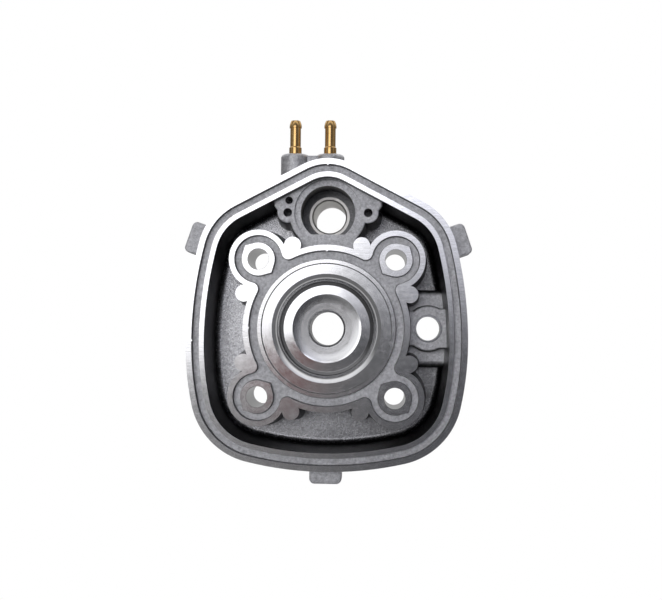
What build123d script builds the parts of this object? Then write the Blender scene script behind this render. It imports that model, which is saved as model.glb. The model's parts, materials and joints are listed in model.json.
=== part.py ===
"""Cylinder head of a small water-cooled two-stroke: a die-cast head with a hose spigot
and two hose nipples pressed in.

Frame: the origin is on the mating plane, at the centre of the four stud holes, which is also the axis
of the combustion chamber. +Z points out of the mating face, towards the cylinder, so the head lies on
its back. +Y points to the hose nipples. All lengths are in millimetres, all angles in degrees.
"""
from build123d import *
import math
import os

os.makedirs("parts", exist_ok=True)

# Heights of the main levels, all below the mating plane.
FLANGE_BOTTOM = -8.5
JACKET_FLOOR = -22.0
SHELL_BOTTOM = -25.0
BACK = -27.0
CAST_DRAFT = 3.8
CAST_EDGE_R = 0.7

# Flange outline: tangent arcs from the pointed top to the middle of the bottom edge, as (radius, turn).
# A straight roof edge follows the first arc, as long as closing the outline on X = 0 needs.
FLANGE_TOP_Y = 64.2
FLANGE_ARCS = [(19.8, 27.75), (24.3, 47.93), (151.2, 14.32), (112.0, 12.44), (27.6, 64.34), (130.1, 13.22)]
RIM_WIDTH = 2.15
INNER_RIM_WIDTH = 1.85
SEAL_GROOVE_WIDTH = 2.9
SEAL_GROOVE_DEPTH = 2.2
SEAL_GROOVE_DRAFT = 8.0
WALL_AT_FACE = RIM_WIDTH + SEAL_GROOVE_WIDTH + INNER_RIM_WIDTH
SHELL_INSET = 2.8

# Inner block: a round chamber body with four stud lobes, and its clover-shaped seal groove.
STUD_PITCH = 51.8
STUD_HOLE_R = 4.0
STUD_ISLAND_R = 6.2
STUD_ISLAND_CUSP = 7.1
LOBE_R = 11.1
LOBE_GROOVE_R = 9.1
BLOCK_R = 31.5
BLOCK_GROOVE_R = 29.4
CHAMBER_RING_R = 26.0
GROOVE_JUNCTION_R = 2.5
PAD_R = 3.2
PAD_NEAR = 13.0
PAD_FAR = 31.2
FILLER_R = 2.6
FILLER_NEAR = 15.2
FILLER_FAR = 28.3
STUDS = [(sx * STUD_PITCH / 2, sy * STUD_PITCH / 2) for sx in (1, -1) for sy in (1, -1)]

# Combustion chamber and plug thread, M14 x 1.25 with a 12.7 reach.
SQUISH_R = 24.3
SQUISH_Z = -0.6
SQUISH_CHAMFER = 0.35
BOWL_R = 20.6
BOWL_WALL_R = 18.2
BOWL_WALL_Z = -2.3
BOWL_EDGE_SLOPE = 22.0
BOWL_WALL_SLOPE = 55.0
LEDGE_R = 16.4
LEDGE_Z = -5.0
LEDGE_RISE = 0.07
DISH_R = 13.1
DISH_SLOPE = 12.0
DISH_FLAT_R = 9.2
PLUG_MOUTH_R = 7.1
PLUG_MOUTH_Z = -5.4
PLUG_R = 6.4
PLUG_PITCH = 1.25
PLUG_REACH = 12.7
PLUG_SEAT_Z = PLUG_MOUTH_Z - PLUG_REACH
PLUG_WELL_R = 13.0
PLUG_TOWER_R = 17.0

# Thermostat housing, with an ear on each side that has a blind M4 hole.
THERMO_Y = 44.0
THERMO_BOSS_R = 14.9
THERMO_PLATE_Z = -4.0
THERMO_SEAT_R = 12.75
THERMO_SEAT_DEPTH = 1.2
THERMO_BORE_R = 10.4
THERMO_CHORD = 8.2
THERMO_FLOOR = -20.0
EAR_X = 15.3
EAR_R = 4.2
EAR_HOLE_R = 1.65
EAR_HOLE_DEPTH = 13.0

# Hose spigot, pressed into the back of the thermostat housing until its inner end meets the bore's floor.
SPIGOT_BOSS_R = 12.0
SPIGOT_R = 7.9
SPIGOT_BORE_R = 6.4
SPIGOT_COLLAR_R = 9.6
SPIGOT_COLLAR_LENGTH = 1.6
SPIGOT_BEAD_R = 8.7
SPIGOT_BEAD_Z = -42.0
SPIGOT_END_Z = -45.0

# Sensor boss, M10 x 1, on a low pad across the jacket; the sensor's seat is counterbored from the back.
SENSOR_X = 38.6
SENSOR_Y = 0.4
SENSOR_BOSS_R = 8.7
SENSOR_TOP = -9.0
SENSOR_R = 4.6
SENSOR_PITCH = 1.0
SENSOR_SEAT_Z = -18.0
SENSOR_SEAT_R = 8.6
SENSOR_BACK_BOSS_R = 11.5
SENSOR_PAD_TOP = -15.0
SENSOR_PAD_HALF = 15.0

# Hose nipples: pressed into two bosses joined by a web, on the outside of the pointed end.
NIPPLE_Z = -18.5
LEFT_NIPPLE_X = -13.7
NIPPLE_BOSS_R = 5.6
NIPPLE_FACE_Y = 68.3
NIPPLE_SHANK_R = 2.3
NIPPLE_SHANK_LENGTH = 8.0
NIPPLE_COLLAR_R = 2.45
NIPPLE_COLLAR_LENGTH = 3.1
NIPPLE_TUBE_R = 2.1
NIPPLE_TUBE_LENGTH = 7.5
NIPPLE_BARB_R = 2.4
NIPPLE_TIP_R = 1.75
NIPPLE_TIP_LENGTH = 2.8
NIPPLE_BORE_R = 1.2
PASSAGE_R = 1.45
JACKET_PASSAGE_X = -14.8
JACKET_PASSAGE_Y = 48.6

# Locating lugs on the outside of the flange.
LUG_TOP = -5.5
LUG_THICKNESS = 8.0
LUG_WIDTH = 12.2
SIDE_LUG_X = 53.3
SIDE_LUG_Y = 35.1
SIDE_LUG_TURN = 19.0
BOTTOM_LUG_Y = -58.85


def outline(inset=0.0):
    """Face inside the flange outline, with every point moved inwards by inset."""
    arcs = [(radius - inset, turn) for radius, turn in FLANGE_ARCS]
    heading = 0.0
    reach = 0.0
    for radius, turn in arcs:
        after = heading + turn
        reach += radius * (math.sin(math.radians(after)) - math.sin(math.radians(heading)))
        heading = after
    slope = math.radians(arcs[0][1])
    roof_length = -reach / math.cos(slope)
    edges = [JernArc((0, FLANGE_TOP_Y - inset), (1, 0), arcs[0][0], -arcs[0][1])]
    corner = edges[-1] @ 1
    roof_end = corner + Vector(math.cos(slope), -math.sin(slope)) * roof_length
    edges.append(Line(corner, roof_end))
    for radius, turn in arcs[1:]:
        edges.append(JernArc(edges[-1] @ 1, edges[-1] % 1, radius, -turn))
    half = Curve() + edges
    return make_face(half + mirror(half, Plane.YZ))


def prism(face, top, bottom, taper=0.0):
    """Vertical prism between two heights; a positive taper narrows it downwards."""
    return extrude(Pos(0, 0, top) * face, amount=top - bottom, dir=(0, 0, -1), taper=taper)


def drafted_boss(x, y, radius, top, bottom=JACKET_FLOOR - 1.0):
    """Round boss inside the jacket, wider at its foot by the casting draft."""
    height = top - bottom
    foot = radius + height * math.tan(math.radians(CAST_DRAFT))
    return Pos(x, y, (top + bottom) / 2) * Cone(foot, radius, height)


def back_boss(x, y, radius, bottom=BACK):
    """Round boss on the back, narrower at its face by the casting draft."""
    height = JACKET_FLOOR - 1.0 - bottom
    face_radius = radius - height * math.tan(math.radians(CAST_DRAFT / 2))
    return Pos(x, y, bottom + height / 2) * Cone(face_radius, radius, height)


def drill(x, y, radius, top, bottom):
    """Cylinder to cut a vertical hole between two heights."""
    return Pos(x, y, (top + bottom) / 2) * Cylinder(radius, top - bottom)


def thread_cutter(x, y, radius, pitch, top, bottom):
    """Threaded hole from top to bottom with crests at radius, and a plain cut past both ends.

    60 degree grooves, one pitch apart, stand for the helix.
    """
    depth = 0.5 * pitch
    half_width = depth * math.tan(math.radians(30))
    past = 1.0
    count = int((top - bottom) / pitch - 0.5)
    first = (top + bottom - (count - 1) * pitch) / 2
    points = [(0, bottom - past), (radius, bottom - past)]
    for level in [first + turn * pitch for turn in range(count)]:
        points += [(radius, level - half_width), (radius + depth, level), (radius, level + half_width)]
    points += [(radius, top + past), (0, top + past)]
    profile = make_face(Plane.XZ * Polyline(*points, close=True))
    return Pos(x, y, 0) * revolve(profile, Axis.Z)


def mouth(x, y, radius, level, width, upwards=True):
    """Chamfer of a hole's mouth at a level, opening upwards or downwards."""
    sizes = (radius, radius + width) if upwards else (radius + width, radius)
    shift = -width / 2 if upwards else width / 2
    return Pos(x, y, level + shift) * Cone(sizes[0], sizes[1], width)


def nub(x, y, direction):
    """Small cast point that stands 0.5 into a seal groove from the wall behind (x, y)."""
    triangle = Polyline((-0.6, -1.1), (0.5, 0), (-0.6, 1.1), close=True)
    return Pos(x, y, 0) * Rot(0, 0, direction) * prism(make_face(triangle), 0, -SEAL_GROOVE_DEPTH - 0.5)


def lug(x, y, direction):
    """Locating lug whose outer edge is centred on (x, y) and faces along direction."""
    reach = 9.0
    plate = Pos(-reach / 2, 0, LUG_TOP - LUG_THICKNESS / 2) * Box(reach, LUG_WIDTH, LUG_THICKNESS)
    outer_edges = plate.edges().filter_by(Axis.Z).group_by(Axis.X)[-1]
    plate = fillet(outer_edges, 2.0)
    plate = fillet(plate.faces().sort_by(Axis.Z)[-1].edges().sort_by(Axis.X)[-1], 0.6)
    return Pos(x, y, 0) * Rot(0, 0, direction) * plate


def outer_body():
    """Flange, shell, back bosses, nipple bosses and lugs, before anything is cut out."""
    flange = prism(outline(), 0, FLANGE_BOTTOM)
    flange = fillet(flange.faces().sort_by(Axis.Z)[0].edges(), 1.2)
    shell = prism(outline(SHELL_INSET), FLANGE_BOTTOM + 1.0, SHELL_BOTTOM, taper=2.0)
    shell = fillet(shell.faces().sort_by(Axis.Z)[0].edges(), 3.0)
    body = flange + shell
    for x, y in STUDS:
        body += back_boss(x, y, 9.5)
    body += back_boss(0, 0, PLUG_TOWER_R + 0.5)
    body += back_boss(0, THERMO_Y, SPIGOT_BOSS_R)
    body += back_boss(SENSOR_X, SENSOR_Y, SENSOR_BACK_BOSS_R)
    body += back_ribs()
    body += nipple_bosses()
    body += lug(SIDE_LUG_X, SIDE_LUG_Y, SIDE_LUG_TURN)
    body += lug(-SIDE_LUG_X, SIDE_LUG_Y, 180 - SIDE_LUG_TURN)
    body += lug(0, BOTTOM_LUG_Y, -90)
    return body


def back_ribs():
    """Stiffening ribs on the back, from the plug tower to every boss around it."""
    depth = 1.6
    width = 3.6
    ribs = []
    for angle, length in [(45, 36), (135, 36), (225, 36), (315, 36), (90, 44), (0, 38)]:
        rib = Pos(length / 2, 0, SHELL_BOTTOM) * Box(length, width, 2 * depth)
        ribs.append(Rot(0, 0, angle) * rib)
    return ribs


def nipple_bosses():
    """Two round bosses along Y, joined by a web, that carry the hose nipples."""
    length = 20.0
    bosses = []
    for x in (0.0, LEFT_NIPPLE_X):
        boss = Pos(x, NIPPLE_FACE_Y - length / 2, NIPPLE_Z) * Rot(-90, 0, 0) * Cylinder(NIPPLE_BOSS_R, length)
        boss = fillet(boss.faces().sort_by(Axis.Y)[-1].edges(), 1.4)
        bosses.append(boss)
    web_end = NIPPLE_FACE_Y - 0.7
    web = Box(-LEFT_NIPPLE_X, length, NIPPLE_BOSS_R)
    bosses.append(Pos(LEFT_NIPPLE_X / 2, web_end - length / 2, NIPPLE_Z) * web)
    return bosses


def jacket_islands():
    """Everything that stands in the water jacket."""
    block = drafted_boss(0, 0, BLOCK_R, 0)
    for x, y in STUDS:
        block += drafted_boss(x, y, LOBE_R, 0)
    for sx in (1, -1):
        for sy in (1, -1):
            block += drafted_boss(sx * PAD_NEAR, sy * PAD_FAR, PAD_R, 0)
            block += drafted_boss(sx * PAD_FAR, sy * PAD_NEAR, PAD_R, 0)
            block += drafted_boss(sx * FILLER_NEAR, sy * FILLER_FAR, FILLER_R, 0)
            block += drafted_boss(sx * FILLER_FAR, sy * FILLER_NEAR, FILLER_R, 0)
    return block + thermostat_housing() + sensor_bosses()


def thermostat_housing():
    """Round housing with two ears, joined to the pointed end of the wall and to the chamber block."""
    housing = drafted_boss(0, THERMO_Y, THERMO_BOSS_R, THERMO_PLATE_Z)
    for side in (1, -1):
        housing += drafted_boss(side * EAR_X, THERMO_Y, EAR_R, THERMO_PLATE_Z)
    half_width = EAR_X + EAR_R
    plate = Polyline(
        (-half_width + 0.6, THERMO_Y),
        (-half_width - 1.2, THERMO_Y + 2.4),
        (-half_width - 1.2, FLANGE_TOP_Y),
        (half_width + 1.2, FLANGE_TOP_Y),
        (half_width + 1.2, THERMO_Y + 2.4),
        (half_width - 0.6, THERMO_Y),
        close=True,
    )
    housing += prism(make_face(plate), THERMO_PLATE_Z, JACKET_FLOOR - 1.0)
    neck = Pos(0, THERMO_Y - 10.0) * Rectangle(22.0, 20.0)
    housing += prism(neck, THERMO_PLATE_Z, JACKET_FLOOR - 1.0)
    return fillet(housing.faces().sort_by(Axis.Z)[-1].edges(), CAST_EDGE_R)


def sensor_bosses():
    """Round sensor boss, its two short arms and the low pad that it stands on."""
    boss = drafted_boss(SENSOR_X, SENSOR_Y, SENSOR_BOSS_R, SENSOR_TOP)
    inner_arm = Pos(SENSOR_X - 5.0, SENSOR_Y) * Rectangle(10.0, 13.6)
    outer_arm = Pos(SENSOR_X + 7.0, SENSOR_Y) * Rectangle(14.0, 15.4)
    boss += prism(inner_arm, SENSOR_TOP, JACKET_FLOOR - 1.0)
    boss += prism(outer_arm, SENSOR_TOP, JACKET_FLOOR - 1.0)
    boss = fillet(boss.faces().sort_by(Axis.Z)[-1].edges(), CAST_EDGE_R)
    pad = Pos(SENSOR_X, SENSOR_Y, SENSOR_PAD_TOP - 5.0) * Box(34.0, 2 * SENSOR_PAD_HALF, 10.0)
    pad = fillet(pad.faces().sort_by(Axis.Z)[-1].edges().filter_by(Axis.X), 2.6)
    return boss + pad


def jacket():
    """The water space that the core leaves: the drafted opening less what stands in it."""
    opening = prism(outline(WALL_AT_FACE), 0, JACKET_FLOOR, taper=CAST_DRAFT)
    opening = fillet(opening.faces().sort_by(Axis.Z)[0].edges(), 2.5)
    return opening - jacket_islands()


def seal_grooves():
    """The ring groove in the flange and the clover-shaped groove around the chamber and the studs."""
    ring = outline(RIM_WIDTH) - outline(RIM_WIDTH + SEAL_GROOVE_WIDTH)
    ring_cut = prism(ring, 0, -SEAL_GROOVE_DEPTH, taper=SEAL_GROOVE_DRAFT)
    ring_cut -= nub(0, FLANGE_TOP_Y - RIM_WIDTH, -90)
    side_x = 53.0 - RIM_WIDTH
    ring_cut -= nub(-side_x, -5.0, 0)
    ring_cut -= nub(side_x, -5.0, 180)
    clover = Sketch() + Circle(BLOCK_GROOVE_R)
    for x, y in STUDS:
        clover += Pos(x, y) * Circle(LOBE_GROOVE_R)
    clover = fillet(clover.vertices(), GROOVE_JUNCTION_R)
    clover -= Circle(CHAMBER_RING_R)
    for x, y in STUDS:
        clover -= Pos(x, y) * stud_island(math.degrees(math.atan2(y, x)))
    clover_cut = prism(clover, 0, -SEAL_GROOVE_DEPTH, taper=SEAL_GROOVE_DRAFT)
    for direction in (90, 180):
        x = BLOCK_GROOVE_R * math.cos(math.radians(direction))
        y = BLOCK_GROOVE_R * math.sin(math.radians(direction))
        clover_cut -= nub(x, y, direction + 180)
    return ring_cut + clover_cut


def stud_island(direction):
    """Round seat around a stud hole, with a small cusp on each side along direction."""
    half_angle = math.acos(STUD_ISLAND_R / STUD_ISLAND_CUSP)
    touch_x = STUD_ISLAND_R * math.cos(half_angle)
    touch_y = STUD_ISLAND_R * math.sin(half_angle)
    island = Sketch() + Circle(STUD_ISLAND_R)
    for side in (1, -1):
        tip = Polyline(
            (side * STUD_ISLAND_CUSP, 0),
            (side * touch_x, touch_y),
            (side * touch_x, -touch_y),
            close=True,
        )
        island += make_face(tip)
    return Rot(0, 0, direction) * island


def chamber():
    """Squish band, rounded bowl edge, ledge and shallow dished roof, turned about the chamber axis."""
    slopes = [math.tan(math.radians(angle)) for angle in (BOWL_EDGE_SLOPE, BOWL_WALL_SLOPE)]
    tangents = [(-1, -slope) for slope in slopes]
    edge = Spline((BOWL_R, SQUISH_Z), (BOWL_WALL_R, BOWL_WALL_Z), tangents=tangents)
    dish_edge = (DISH_R, LEDGE_Z + LEDGE_RISE)
    dish_slope = math.tan(math.radians(DISH_SLOPE))
    dish_foot = (DISH_FLAT_R, LEDGE_Z + LEDGE_RISE - (DISH_R - DISH_FLAT_R) * dish_slope / 2)
    dish = Spline(dish_edge, dish_foot, tangents=[(-1, -dish_slope), (-1, 0)])
    profile = [
        Line((0, 1), (SQUISH_R + SQUISH_CHAMFER, 1)),
        Line((SQUISH_R + SQUISH_CHAMFER, 1), (SQUISH_R + SQUISH_CHAMFER, 0)),
        Line((SQUISH_R + SQUISH_CHAMFER, 0), (SQUISH_R, -SQUISH_CHAMFER)),
        Line((SQUISH_R, -SQUISH_CHAMFER), (SQUISH_R, SQUISH_Z)),
        Line((SQUISH_R, SQUISH_Z), edge @ 0),
        edge,
        Line(edge @ 1, (LEDGE_R, LEDGE_Z)),
        Line((LEDGE_R, LEDGE_Z), dish_edge),
        dish,
        Line(dish_foot, (PLUG_MOUTH_R, PLUG_MOUTH_Z)),
        Line((PLUG_MOUTH_R, PLUG_MOUTH_Z), (0, PLUG_MOUTH_Z)),
        Line((0, PLUG_MOUTH_Z), (0, 1)),
    ]
    face = make_face(Plane.XZ * (Curve() + profile))
    return revolve(face, Axis.Z)


def plug_hole():
    """Threaded plug hole with a chamfered mouth in the chamber roof, and the plug well behind it."""
    mouth_depth = PLUG_MOUTH_R - PLUG_R
    cut = thread_cutter(0, 0, PLUG_R, PLUG_PITCH, PLUG_MOUTH_Z - mouth_depth, PLUG_SEAT_Z)
    cut += mouth(0, 0, PLUG_R, PLUG_MOUTH_Z, mouth_depth)
    well_height = PLUG_SEAT_Z - BACK
    well = Pos(0, 0, BACK + well_height / 2) * Cone(PLUG_WELL_R + 0.8, PLUG_WELL_R, well_height)
    return cut + well


def thermostat_cuts():
    """Seat, bore, spigot hole, ear holes and the water passages to the two nipples."""
    seat_z = THERMO_PLATE_Z - THERMO_SEAT_DEPTH
    seat = Pos(0, THERMO_Y) * Circle(THERMO_SEAT_R)
    seat &= Pos(0, THERMO_Y + 4.0) * Rectangle(60, 2 * (THERMO_CHORD + 4.0 + 3.0))
    cuts = prism(seat, THERMO_PLATE_Z + 3.0, seat_z)
    bore = Pos(0, THERMO_Y) * Circle(THERMO_BORE_R)
    bore &= Pos(0, THERMO_Y + 4.0) * Rectangle(60, 2 * (THERMO_CHORD + 4.0))
    cuts += prism(bore, seat_z + 1.0, THERMO_FLOOR)
    cuts += drill(0, THERMO_Y, SPIGOT_R, THERMO_FLOOR + 1.0, BACK - 1.0)
    for side in (1, -1):
        cuts += drill(side * EAR_X, THERMO_Y, EAR_HOLE_R, 0, THERMO_PLATE_Z - EAR_HOLE_DEPTH)
    bore_wall_y = THERMO_Y + THERMO_BORE_R - 1.0
    cuts += passage(0, bore_wall_y)
    cuts += passage(LEFT_NIPPLE_X, JACKET_PASSAGE_Y)
    cuts += drill(JACKET_PASSAGE_X, JACKET_PASSAGE_Y, PASSAGE_R, 0, NIPPLE_Z)
    return cuts


def sensor_hole():
    """Threaded hole through the sensor boss, and the counterbored seat behind it."""
    cut = thread_cutter(SENSOR_X, SENSOR_Y, SENSOR_R, SENSOR_PITCH, SENSOR_TOP, SENSOR_SEAT_Z)
    cut += mouth(SENSOR_X, SENSOR_Y, SENSOR_R, SENSOR_SEAT_Z, 0.6, upwards=False)
    return cut + drill(SENSOR_X, SENSOR_Y, SENSOR_SEAT_R, SENSOR_SEAT_Z, BACK - 1.0)


def passage(x, inner_y):
    """Hole along Y for a nipple's shank, and the narrower water passage behind it."""
    shank_end = NIPPLE_FACE_Y - NIPPLE_SHANK_LENGTH
    turned = Rot(-90, 0, 0)
    shank = Pos(x, (shank_end + NIPPLE_FACE_Y + 1) / 2, NIPPLE_Z) * turned * Cylinder(
        NIPPLE_SHANK_R, NIPPLE_FACE_Y + 1 - shank_end
    )
    narrow = Pos(x, (inner_y + shank_end) / 2, NIPPLE_Z) * turned * Cylinder(
        PASSAGE_R, shank_end - inner_y
    )
    return shank + narrow


def head_casting():
    """The casting, machined."""
    casting = outer_body() - jacket() - seal_grooves() - chamber() - plug_hole()
    casting -= thermostat_cuts()
    for x, y in STUDS:
        casting -= drill(x, y, STUD_HOLE_R, 1, BACK - 1)
    return casting - sensor_hole()


def hose_nipple(x):
    """Brass nipple along Y: pressed shank, collar, tube and a barb with a tapered tip."""
    tube_end = NIPPLE_COLLAR_LENGTH + NIPPLE_TUBE_LENGTH
    end = tube_end + NIPPLE_TIP_LENGTH
    outer = [
        (NIPPLE_BORE_R, -NIPPLE_SHANK_LENGTH),
        (NIPPLE_SHANK_R, -NIPPLE_SHANK_LENGTH),
        (NIPPLE_SHANK_R, 0),
        (NIPPLE_COLLAR_R, 0),
        (NIPPLE_COLLAR_R, NIPPLE_COLLAR_LENGTH - 0.4),
        (NIPPLE_TUBE_R, NIPPLE_COLLAR_LENGTH),
        (NIPPLE_TUBE_R, tube_end),
        (NIPPLE_BARB_R, tube_end),
    ]
    taper = ThreePointArc(
        (NIPPLE_BARB_R, tube_end),
        (NIPPLE_BARB_R - 0.18, tube_end + 0.6 * NIPPLE_TIP_LENGTH),
        (NIPPLE_TIP_R, end),
    )
    inner = Polyline((NIPPLE_TIP_R, end), (NIPPLE_BORE_R, end), (NIPPLE_BORE_R, -NIPPLE_SHANK_LENGTH))
    face = make_face(Curve() + [Polyline(*outer), taper, inner])
    turned = revolve(face, Axis.Y)
    return Pos(x, NIPPLE_FACE_Y, NIPPLE_Z) * turned


def hose_spigot():
    """Outlet tube through the back of the casting, with a collar, a hose bead and a chamfered end."""
    collar_z = BACK - SPIGOT_COLLAR_LENGTH
    bead = ThreePointArc(
        (SPIGOT_R, SPIGOT_BEAD_Z + 1.4),
        (SPIGOT_BEAD_R, SPIGOT_BEAD_Z),
        (SPIGOT_R, SPIGOT_BEAD_Z - 1.4),
    )
    upper = Polyline(
        (SPIGOT_BORE_R, THERMO_FLOOR - 0.5),
        (SPIGOT_BORE_R + 0.5, THERMO_FLOOR),
        (SPIGOT_R, THERMO_FLOOR),
        (SPIGOT_R, BACK),
        (SPIGOT_COLLAR_R, BACK),
        (SPIGOT_COLLAR_R, collar_z),
        (SPIGOT_R, collar_z),
        bead @ 0,
    )
    lower = Polyline(
        bead @ 1,
        (SPIGOT_R, SPIGOT_END_Z + 0.6),
        (SPIGOT_R - 0.6, SPIGOT_END_Z),
        (SPIGOT_BORE_R, SPIGOT_END_Z),
        (SPIGOT_BORE_R, THERMO_FLOOR - 0.5),
    )
    face = make_face(Plane.XZ * (Curve() + [upper, bead, lower]))
    return Pos(0, THERMO_Y, 0) * revolve(face, Axis.Z)


export_step(head_casting(), "parts/head_casting.step")
export_step(hose_spigot(), "parts/hose_spigot.step")
export_step(hose_nipple(0), "parts/nipple_centre.step")
export_step(hose_nipple(LEFT_NIPPLE_X), "parts/nipple_left.step")
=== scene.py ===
"""Looks for the cylinder head: procedural metals, a white floor, soft studio light and the camera."""
import json
import math

import bpy
from mathutils import Matrix, Vector


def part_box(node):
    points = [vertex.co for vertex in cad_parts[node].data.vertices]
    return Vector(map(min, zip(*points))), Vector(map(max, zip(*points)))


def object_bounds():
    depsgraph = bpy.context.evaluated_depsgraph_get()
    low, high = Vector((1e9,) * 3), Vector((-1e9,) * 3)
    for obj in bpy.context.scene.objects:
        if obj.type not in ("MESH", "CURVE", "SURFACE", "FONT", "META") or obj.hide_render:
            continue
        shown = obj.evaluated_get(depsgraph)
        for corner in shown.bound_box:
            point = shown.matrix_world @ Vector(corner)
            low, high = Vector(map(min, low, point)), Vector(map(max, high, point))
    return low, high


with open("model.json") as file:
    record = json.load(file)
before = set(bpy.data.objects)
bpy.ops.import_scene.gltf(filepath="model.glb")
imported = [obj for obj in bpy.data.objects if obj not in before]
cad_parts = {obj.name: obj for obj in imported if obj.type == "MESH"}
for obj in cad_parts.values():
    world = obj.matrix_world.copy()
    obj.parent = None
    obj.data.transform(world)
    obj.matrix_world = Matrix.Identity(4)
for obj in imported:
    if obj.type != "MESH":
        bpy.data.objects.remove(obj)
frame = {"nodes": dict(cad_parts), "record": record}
cad_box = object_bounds()
mounts = {mount["name"]: mount for mount in frame["record"]["mounts"]}

MM = 0.001
WHITE = (1.0, 1.0, 1.0, 1.0)
ALONG_Y = 1
ALONG_Z = 2

# The Mix node's sockets for each kind of data: first, second and result.
MIX_SOCKETS = {"FLOAT": (2, 3, 0), "RGBA": (6, 7, 2)}

# Axes on the object, in millimetres.
STUD = mounts["stud_holes"]["dims"]["spacing_x_mm"] / 2
THERMOSTAT_Y = mounts["thermostat_seat"]["pos_m"][1] / MM
SENSOR_X = mounts["sensor_thread"]["pos_m"][0] / MM
SENSOR_Y = mounts["sensor_thread"]["pos_m"][1] / MM

# What the cutters have been over, in millimetres. Each limit lies clear of the surface that it takes in.
FACE_Z = -0.04
CHAMBER_R = 24.7
CHAMBER_Z = -6.2
STUD_HOLE_R = 4.1
PLUG_MOUTH_R = 7.15
PLUG_WELL_R = 13.9
PLUG_WELL_Z = -15.0
SENSOR_THREAD_R = 5.3
SENSOR_SEAT_R = 8.7
SENSOR_SEAT_Z = -17.9
BACK_CLEARANCE = 0.05
BACK_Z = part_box("head_casting")[0].z / MM + BACK_CLEARANCE

# Regions with painted shade or a finish of their own, in millimetres. An edge is a pair of limits: none,
# full.
STEEP_WALL_INNER_R = 16.45
STEEP_WALL_OUTER_R = 17.9
DISH_EDGE = (13.2, 11.8)
DISH_RINGS_R = 13.0
THERMOSTAT_BORE_R = 10.6
THERMOSTAT_BORE_Z = -5.3
POCKET_Z = -20.0
POCKET_X = (-40.0, 40.0)
POCKET_Y = (-45.0, -20.0)
INTERIOR_R = 49.0
INTERIOR_Z = -22.5
INWARD_EDGE = (4.0, -4.0)

# How level a surface is, by the z of its normal, where it starts and ends to count as upright.
UPRIGHT_EDGE = (0.85, 0.35)

# The values that a noise mostly keeps between.
NOISE_RANGE = (0.3, 0.7)

# Cast metal. A pair is what the two ends of a noise, or of POCKET_X or POCKET_Y, give.
GRAIN_TONE = (0.40, 0.96)
CLOUD_TONE = (-0.06, 0.06)
# Painted shade on the upright walls inside the water jacket and the grooves.
WALL_PAINTED_SHADE = 0.22
# Painted shade in the thermostat's bore.
THERMOSTAT_BORE_PAINTED_SHADE = 0.35
# Painted shade on the jacket's floor, deeper towards +X and towards -Y.
POCKET_PAINTED_SHADE_X = (1.10, 0.44)
POCKET_PAINTED_SHADE_Y = (0.70, 1.0)
CAST_ROUGHNESS = (0.28, 0.40)
POCKET_ROUGHNESS_SHARE = 0.76
SAND_DEPTH = 0.20
POCKET_SAND_SHARE = 0.6

# Cut metal.
CUT_TONE = (0.81, 0.90)
MILLED_TONE = (0.80, 1.12)
# Painted shade in the stud holes.
STUD_HOLE_PAINTED_SHADE = 0.30
# Painted shade on the chamber's steep wall.
STEEP_WALL_PAINTED_SHADE = 0.25
# Painted shade on the dish around the plug.
DISH_PAINTED_SHADE = 0.66
CUT_ROUGHNESS = (0.07, 0.13)
MILLED_ADDED_ROUGHNESS = (0.05, 0.0)
DISH_ADDED_ROUGHNESS = 0.13
STREAK_STRETCH = (0.15, 1.8, 1.0)
RING_DEPTH = 0.003
DISH_RING_DEPTH = 0.014
TOOL_MARK_DEPTH = 0.002

# Turned pieces: a dark and a light colour, which blots mix.
BRASS = ((0.50, 0.25, 0.06, 1.0), (1.0, 0.70, 0.33, 1.0))
TURNED_ALUMINIUM = ((0.70, 0.68, 0.65, 1.0), (0.84, 0.82, 0.79, 1.0))

# Floor, and a patch of glow that lies just above it. Sizes are in metres.
FLOOR_SIZE = 6.0
FLOOR_LEVEL = 1.0
PATCH_SIZE = 0.096
PATCH_LIFT = 0.0005
PATCH_LEVEL = 0.42

# Softbox overhead, in millimetres of u and v, which studio() explains. An edge or end is a pair: dark, full.
SOFTBOX_LEVEL = 1.7
SOFTBOX_FRONT_V = 2.0
SOFTBOX_FRONT_SLOPE = 0.28
SOFTBOX_FRONT_EDGE = (-5.0, 4.0)
SOFTBOX_SIDE_V = 18.0
SOFTBOX_SIDE_SCALE = 0.7
SOFTBOX_SIDE_EDGE = (-5.0, 5.0)
SOFTBOX_LEFT_END = (-250.0, -180.0)
SOFTBOX_FAR_END = (170.0, 110.0)

# The rest of the light overhead: a glow beside the softbox, and a dim level that rises to the left.
GLOW_LEVEL = 0.9
GLOW_FRONT = (-10.0, 54.0)
GLOW_RIGHT_END = (110.0, 50.0)
DIM_LEVEL = 0.085
DIM_RISE = 0.15
DIM_LEFT = (40.0, -60.0)
OVERHEAD_EDGE = (0.60, 0.85)

# Light from the sides. Heights are the z of a direction, 0 at the horizon and 1 straight up, and the two
# side edges are its y.
LOWEST_UP = 0.02
NORTH_LEVELS = (0.1, 0.85)
NORTH_SIDE_EDGE = (0.15, 0.75)
NORTH_LOWER_EDGE = (0.15, 0.45)
NORTH_UPPER_EDGE = (0.80, 0.60)
RING_LEVEL = 0.75
RING_TOP_EDGE = (0.05, -0.15)
RING_SHARES = (0.20, 1.0)
RING_SIDE_EDGE = (0.10, 0.50)
DOME_LEVEL = 0.13
DOME_EDGE = (0.15, 0.40)
BELT_LEVEL = 0.35
BELT_LOWER_EDGE = (0.12, 0.22)
BELT_UPPER_EDGE = (0.44, 0.34)
DARKEST_LEVEL = 0.02
AROUND_TOP_EDGE = (0.98, 0.90)

# Tints of the light overhead: cool to the right, and a dim warm patch beside the softbox.
COOL_RIGHT = (-10.0, 40.0)
COOL_HEIGHT = (0.5, 0.8)
WARM_COLOUR = (0.17, 0.09, 0.09, 1.0)
WARM_U = -17.0
WARM_V = -18.0
WARM_EDGE = (18.0, 9.0)
WARM_SOFTBOX_LIMIT = (0.3, 0.0)

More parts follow.
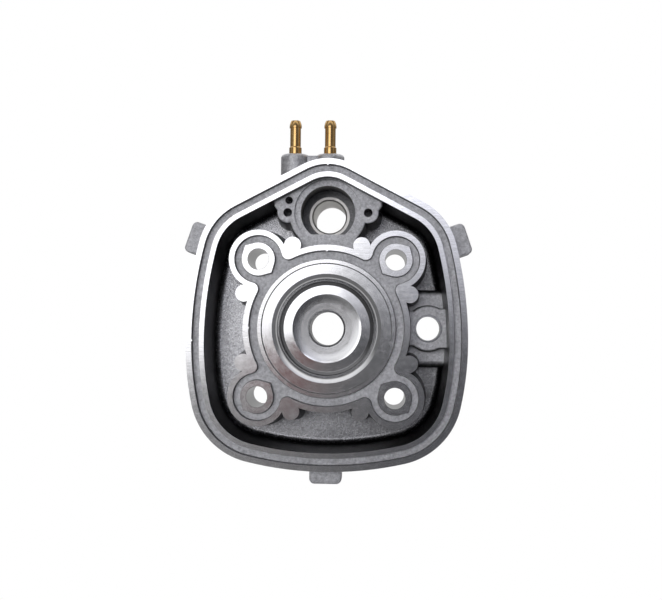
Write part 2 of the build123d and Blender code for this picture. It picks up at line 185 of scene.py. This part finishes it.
# Camera, in millimetres: it stands almost above the mating face and looks down on it.
CAMERA_AT = (19.0, -2.0, 415.0)
CAMERA_AIM = (1.7, 10.7, 0.0)
CAMERA_ROLL = -0.6
VIEW_WIDTH = 248.3
SENSOR_WIDTH = 36.0
NEAREST = 10.0


class Graph:
    """A node tree, and short ways to add nodes to it."""

    def __init__(self, tree):
        self.tree = tree
        self.tree.nodes.clear()

    def node(self, kind, inputs=None, **settings):
        node = self.tree.nodes.new(kind)
        for name, value in settings.items():
            setattr(node, name, value)
        for name, value in (inputs or {}).items():
            self.plug(node.inputs[name], value)
        return node

    def plug(self, socket, value):
        if isinstance(value, bpy.types.NodeSocket):
            self.tree.links.new(value, socket)
        else:
            socket.default_value = value

    def math(self, operation, *values):
        node = self.node("ShaderNodeMath", operation=operation)
        for socket, value in zip(node.inputs, values):
            self.plug(socket, value)
        return node.outputs[0]

    def chain(self, operation, first, *others):
        for value in others:
            first = self.math(operation, first, value)
        return first

    def product(self, *values):
        return self.chain("MULTIPLY", *values)

    def largest(self, *values):
        return self.chain("MAXIMUM", *values)

    def scaled_sum(self, value, factor, added):
        return self.math("MULTIPLY_ADD", value, factor, added)

    def below(self, value, limit):
        return self.math("LESS_THAN", value, limit)

    def above(self, value, limit):
        return self.math("GREATER_THAN", value, limit)

    def noise(self, vector, scale, detail, rough):
        inputs = {"Vector": vector, "Scale": scale, "Detail": detail, "Roughness": rough}
        return self.node("ShaderNodeTexNoise", inputs).outputs["Fac"]

    def span(self, value, low, high, to_low, to_high):
        inputs = {"Value": value, "From Min": low, "From Max": high, "To Min": to_low, "To Max": to_high}
        return self.node("ShaderNodeMapRange", inputs).outputs["Result"]

    def spread(self, noise, low, high):
        """A noise's usual range, stretched from low to high."""
        return self.span(noise, *NOISE_RANGE, low, high)

    def where(self, mask, value, elsewhere=1.0):
        """One value where the mask is 1, and another where it is 0."""
        return self.span(mask, 0.0, 1.0, elsewhere, value)

    def smooth(self, value, edge):
        """0 at the edge's first limit, 1 at its second, and a soft step between."""
        inputs = {"Value": value, "From Min": edge[0], "From Max": edge[1]}
        return self.node("ShaderNodeMapRange", inputs, interpolation_type="SMOOTHSTEP").outputs["Result"]

    def mix(self, factor, first, second, kind="FLOAT"):
        """The first value where the factor is 0, and the second where it is 1."""
        node = self.node("ShaderNodeMix", {"Factor": factor}, data_type=kind)
        from_first, from_second, result = MIX_SOCKETS[kind]
        self.plug(node.inputs[from_first], first)
        self.plug(node.inputs[from_second], second)
        return node.outputs[result]

    def mix_colour(self, factor, first, second):
        return self.mix(factor, first, second, "RGBA")

    def grey(self, value, blue=1.0, red=1.0):
        parts = {"Red": self.product(value, red), "Green": value, "Blue": self.product(value, blue)}
        return self.node("ShaderNodeCombineColor", parts).outputs[0]

    def parts(self, vector):
        return self.node("ShaderNodeSeparateXYZ", {0: vector}).outputs

    def scaled(self, vector, x, y, z):
        inputs = {0: vector, 1: (x, y, z)}
        return self.node("ShaderNodeVectorMath", inputs, operation="MULTIPLY").outputs[0]

    def distance(self, x, y, at_x, at_y):
        """Distance in plan from a vertical axis."""
        dx = self.math("SUBTRACT", x, at_x)
        dy = self.math("SUBTRACT", y, at_y)
        return self.math("SQRT", self.math("ADD", self.product(dx, dx), self.product(dy, dy)))

    def place(self):
        """Object coordinates in millimetres."""
        metres = self.node("ShaderNodeTexCoord").outputs["Object"]
        return self.scaled(metres, 1.0 / MM, 1.0 / MM, 1.0 / MM)

    def metal(self, colour, rough, relief):
        """Bare metal with a relief in millimetres, as the material's surface."""
        bump = self.node("ShaderNodeBump", {"Height": relief, "Distance": MM}).outputs[0]
        inputs = {"Base Color": colour, "Metallic": 1.0, "Roughness": rough, "Normal": bump}
        self.output(self.node("ShaderNodeBsdfPrincipled", inputs), "ShaderNodeOutputMaterial")

    def output(self, shader, kind):
        self.node(kind, {"Surface": shader.outputs[0]})


def new_material(name):
    material = bpy.data.materials.new(name)
    material.use_nodes = True
    return material, Graph(material.node_tree)


def jacket_walls(graph, x, y, z, radius):
    """1 on an upright wall of the water jacket or a groove, 0 on level ones and on the outside.

    Upright walls near the chamber's axis are the islands', and of the rest those that face inward are the
    flange's. The cast colour gets painted shade where this is 1.
    """
    normal = graph.node("ShaderNodeNewGeometry").outputs["True Normal"]
    nx, ny, nz = graph.parts(normal)
    outward = graph.scaled_sum(nx, x, graph.product(ny, y))
    upright = graph.smooth(graph.math("ABSOLUTE", nz), UPRIGHT_EDGE)
    island = graph.product(graph.below(radius, INTERIOR_R), graph.above(z, INTERIOR_Z))
    return graph.product(upright, graph.largest(island, graph.smooth(outward, INWARD_EDGE)))


def cast_skin(graph, place, x, y, z, radius):
    """Colour, roughness and relief of the metal as it leaves the mould.

    Painted shade darkens the upright walls inside and the thermostat's bore. The jacket's floor is smoother
    than the rest, and has painted shade that deepens towards +X and towards -Y.
    """
    walls = jacket_walls(graph, x, y, z, radius)
    bore = graph.below(graph.distance(x, y, 0.0, THERMOSTAT_Y), THERMOSTAT_BORE_R)
    bore = graph.product(bore, graph.below(z, THERMOSTAT_BORE_Z))
    pocket = graph.below(z, POCKET_Z)
    across = graph.span(x, *POCKET_X, *POCKET_PAINTED_SHADE_X)
    along = graph.span(y, *POCKET_Y, *POCKET_PAINTED_SHADE_Y)
    # Painted shade: the walls, the bore and the floor's gradient darken the cast colour.
    shade = graph.product(graph.where(walls, WALL_PAINTED_SHADE), graph.where(bore, THERMOSTAT_BORE_PAINTED_SHADE))
    shade = graph.product(shade, graph.mix(pocket, 1.0, graph.product(across, along)))

    grain = graph.noise(place, scale=0.8, detail=8.0, rough=0.8)
    cloud = graph.noise(place, scale=0.10, detail=3.0, rough=0.5)
    tone = graph.math("ADD", graph.spread(grain, *GRAIN_TONE), graph.spread(cloud, *CLOUD_TONE))
    colour = graph.grey(graph.product(tone, shade), blue=1.03)
    rough = graph.product(graph.spread(grain, *CAST_ROUGHNESS), graph.where(pocket, POCKET_ROUGHNESS_SHARE))
    sand = graph.noise(place, scale=1.1, detail=6.0, rough=0.75)
    relief = graph.product(sand, SAND_DEPTH, graph.where(pocket, POCKET_SAND_SHARE))
    return colour, rough, relief


def cut_skin(graph, place, radius, face, turned, drilled):
    """Colour, roughness and relief where a cutter has been.

    The flat faces have streaks, and the chamber has rings. Painted shade darkens the stud holes, the
    chamber's steep wall and the dish around the plug, and the dish is rougher.
    """
    blot = graph.noise(place, scale=0.45, detail=5.0, rough=0.65)
    streaks = graph.noise(graph.scaled(place, *STREAK_STRETCH), scale=1.0, detail=6.0, rough=0.75)
    steep = graph.product(graph.below(radius, STEEP_WALL_OUTER_R), graph.above(radius, STEEP_WALL_INNER_R))
    dish = graph.smooth(radius, DISH_EDGE)
    milled = graph.mix(face, 1.0, graph.spread(streaks, *MILLED_TONE))
    # Painted shade: the stud holes, the steep wall and the dish are darkened.
    cut_painted_shade = graph.product(graph.where(drilled, STUD_HOLE_PAINTED_SHADE), graph.where(steep, STEEP_WALL_PAINTED_SHADE))
    cut_painted_shade = graph.product(cut_painted_shade, graph.where(dish, DISH_PAINTED_SHADE))
    tone = graph.product(graph.spread(blot, *CUT_TONE), milled)
    colour = graph.grey(graph.product(tone, cut_painted_shade), blue=1.01)

    rough = graph.scaled_sum(dish, DISH_ADDED_ROUGHNESS, graph.spread(blot, *CUT_ROUGHNESS))
    added = graph.mix(face, 0.0, graph.spread(streaks, *MILLED_ADDED_ROUGHNESS))
    rough = graph.math("ADD", rough, added)
    rings = graph.node("ShaderNodeCombineXYZ", {0: radius}).outputs[0]
    rings = graph.noise(rings, scale=3.0, detail=1.0, rough=0.5)
    depth = graph.where(graph.below(radius, DISH_RINGS_R), DISH_RING_DEPTH, RING_DEPTH)
    return colour, rough, graph.product(rings, depth, turned)


def cast_aluminium():
    """Die-cast aluminium: grainy as it leaves the mould, bright where a cutter has been over it."""
    material, graph = new_material("cast_aluminium_look")
    place = graph.place()
    x, y, z = graph.parts(place)
    radius = graph.distance(x, y, 0.0, 0.0)
    stud = graph.distance(graph.math("ABSOLUTE", x), graph.math("ABSOLUTE", y), STUD, STUD)
    sensor = graph.distance(x, y, SENSOR_X, SENSOR_Y)

    face = graph.above(z, FACE_Z)
    turned = graph.product(graph.below(radius, CHAMBER_R), graph.above(z, CHAMBER_Z))
    drilled = graph.below(stud, STUD_HOLE_R)
    plug_mouth = graph.below(radius, PLUG_MOUTH_R)
    plug_well = graph.product(graph.below(radius, PLUG_WELL_R), graph.below(z, PLUG_WELL_Z))
    sensor_thread = graph.below(sensor, SENSOR_THREAD_R)
    sensor_seat = graph.product(graph.below(sensor, SENSOR_SEAT_R), graph.below(z, SENSOR_SEAT_Z))
    back = graph.below(z, BACK_Z)
    machined = graph.largest(face, turned, drilled, plug_mouth, plug_well, sensor_thread, sensor_seat, back)

    cast_colour, cast_rough, sand = cast_skin(graph, place, x, y, z, radius)
    cut_colour, cut_rough, rings = cut_skin(graph, place, radius, face, turned, drilled)
    colour = graph.mix_colour(machined, cast_colour, cut_colour)
    rough = graph.mix(machined, cast_rough, cut_rough)
    sand = graph.product(sand, graph.math("SUBTRACT", 1.0, machined))
    graph.metal(colour, rough, graph.math("ADD", rings, sand))
    return material


def turned_metal(name, colours, along, pitch, rough):
    """Turned bar: two close colours in soft blots, and fine tool marks one pitch apart along an axis."""
    material, graph = new_material(name)
    place = graph.place()
    blot = graph.noise(place, scale=0.8, detail=4.0, rough=0.6)
    marks = graph.math("SINE", graph.product(graph.parts(place)[along], 2.0 * math.pi / pitch))
    marks = graph.product(marks, TOOL_MARK_DEPTH)
    graph.metal(graph.mix_colour(blot, *colours), graph.spread(blot, *rough), marks)
    return material


def glow(name, size, height, level):
    """Flat square that gives off even white light."""
    material, graph = new_material(name + "_look")
    shader = graph.node("ShaderNodeEmission", {"Color": WHITE, "Strength": level})
    graph.output(shader, "ShaderNodeOutputMaterial")
    bpy.ops.mesh.primitive_plane_add(size=size, location=(0, 0, height))
    plane = bpy.context.object
    plane.name = name
    plane.data.materials.append(material)
    plane.visible_diffuse = False
    return plane


def floor(height):
    """A white floor that only the camera sees, and a patch on it that only reflections show."""
    glow("floor", FLOOR_SIZE, height, FLOOR_LEVEL).visible_glossy = False
    glow("table_glow", PATCH_SIZE, height + PATCH_LIFT, PATCH_LEVEL).visible_camera = False


def softbox(graph, u, v):
    """1 in the softbox: beyond a near edge that slopes up to the right and a side edge at 45 degrees."""
    front = graph.math("SUBTRACT", graph.scaled_sum(u, -SOFTBOX_FRONT_SLOPE, v), SOFTBOX_FRONT_V)
    side = graph.chain("SUBTRACT", v, u, SOFTBOX_SIDE_V)
    side = graph.product(side, SOFTBOX_SIDE_SCALE)
    return graph.product(graph.smooth(front, SOFTBOX_FRONT_EDGE), graph.smooth(side, SOFTBOX_SIDE_EDGE))


def overhead(graph, u, v, height, near):
    """The softbox as far as its ends, the glow beside it, and the dim level elsewhere."""
    far_end = graph.smooth(v, SOFTBOX_FAR_END)
    box = graph.product(near, far_end, graph.smooth(u, SOFTBOX_LEFT_END))
    beside = graph.product(graph.smooth(v, GLOW_FRONT), graph.smooth(u, GLOW_RIGHT_END), far_end)
    dim = graph.scaled_sum(graph.smooth(u, DIM_LEFT), DIM_RISE, DIM_LEVEL)
    light = graph.largest(graph.product(box, SOFTBOX_LEVEL), graph.scaled_sum(beside, GLOW_LEVEL, dim))
    return graph.product(light, graph.smooth(height, OVERHEAD_EDGE))


def from_north(graph, y, height):
    """Light from beyond the pointed end, weaker overhead than lower down."""
    light = graph.product(graph.smooth(y, NORTH_SIDE_EDGE), graph.smooth(height, NORTH_LOWER_EDGE))
    return graph.product(light, graph.span(graph.smooth(height, NORTH_UPPER_EDGE), 0.0, 1.0, *NORTH_LEVELS))


def around(graph, y, height):
    """Light from all sides: a ring below the horizon, weaker at the left and right, a belt and a dome."""
    sideways = graph.smooth(graph.math("ABSOLUTE", y), RING_SIDE_EDGE)
    ring = graph.product(graph.smooth(height, RING_TOP_EDGE), graph.span(sideways, 0.0, 1.0, *RING_SHARES))
    belt = graph.product(graph.smooth(height, BELT_LOWER_EDGE), graph.smooth(height, BELT_UPPER_EDGE))
    dome = graph.product(graph.smooth(height, DOME_EDGE), DOME_LEVEL)
    light = graph.scaled_sum(ring, RING_LEVEL, DARKEST_LEVEL)
    light = graph.math("ADD", light, graph.scaled_sum(belt, BELT_LEVEL, dome))
    return graph.product(light, graph.smooth(height, AROUND_TOP_EDGE))


def studio():
    """Light from all around, and plain white where the camera looks past the object.

    Directions overhead are given by where a level mirror on the mating face would show them to the camera,
    as u and v in millimetres along X and Y.
    """
    world = bpy.data.worlds.new("studio")
    world.use_nodes = True
    graph = Graph(world.node_tree)
    x, y, height = graph.parts(graph.node("ShaderNodeTexCoord").outputs["Generated"])
    up = graph.math("MAXIMUM", height, LOWEST_UP)
    u = graph.scaled_sum(graph.math("DIVIDE", x, up), CAMERA_AT[2], CAMERA_AT[0])
    v = graph.scaled_sum(graph.math("DIVIDE", y, up), CAMERA_AT[2], CAMERA_AT[1])

    near = softbox(graph, u, v)
    sides = graph.largest(from_north(graph, y, height), around(graph, y, height))
    light = graph.largest(overhead(graph, u, v, height, near), sides)
    cool = graph.product(graph.smooth(u, COOL_RIGHT), graph.smooth(height, COOL_HEIGHT))
    colour = graph.mix_colour(cool, graph.grey(light, blue=1.02), graph.grey(light, blue=1.10, red=0.99))
    warm = graph.smooth(graph.distance(u, v, WARM_U, WARM_V), WARM_EDGE)
    warm = graph.product(warm, graph.smooth(near, WARM_SOFTBOX_LIMIT))
    colour = graph.mix_colour(warm, colour, WARM_COLOUR)
    seen = graph.node("ShaderNodeLightPath").outputs["Is Camera Ray"]
    colour = graph.mix_colour(seen, colour, WHITE)
    graph.output(graph.node("ShaderNodeBackground", {"Color": colour}), "ShaderNodeOutputWorld")
    bpy.context.scene.world = world


def camera():
    data = bpy.data.cameras.new("camera")
    data.sensor_width = SENSOR_WIDTH
    at = Vector(CAMERA_AT) * MM
    aim = Vector(CAMERA_AIM) * MM
    data.lens = SENSOR_WIDTH * (aim - at).length / (VIEW_WIDTH * MM)
    data.clip_start = NEAREST * MM
    eye = bpy.data.objects.new("camera", data)
    bpy.context.scene.collection.objects.link(eye)
    forward = (aim - at).normalized()
    right = forward.cross(Vector((0, 1, 0))).normalized()
    up = right.cross(forward)
    turn = Matrix.Rotation(math.radians(CAMERA_ROLL), 3, forward)
    axes = Matrix((turn @ right, turn @ up, -forward)).transposed()
    eye.matrix_world = Matrix.Translation(at) @ axes.to_4x4()
    bpy.context.scene.camera = eye


def dress(node, material):
    slots = frame["nodes"][node].data.materials
    slots.clear()
    slots.append(material)


brass = turned_metal("brass_look", BRASS, ALONG_Y, pitch=0.22, rough=(0.06, 0.12))
aluminium = turned_metal("turned_aluminium_look", TURNED_ALUMINIUM, ALONG_Z, pitch=0.3, rough=(0.3, 0.42))
dress("head_casting", cast_aluminium())
dress("hose_spigot", aluminium)
dress("nipple_centre", brass)
dress("nipple_left", brass)
floor(cad_box[0][2])
studio()
camera()
bpy.context.scene.view_settings.view_transform = "Standard"
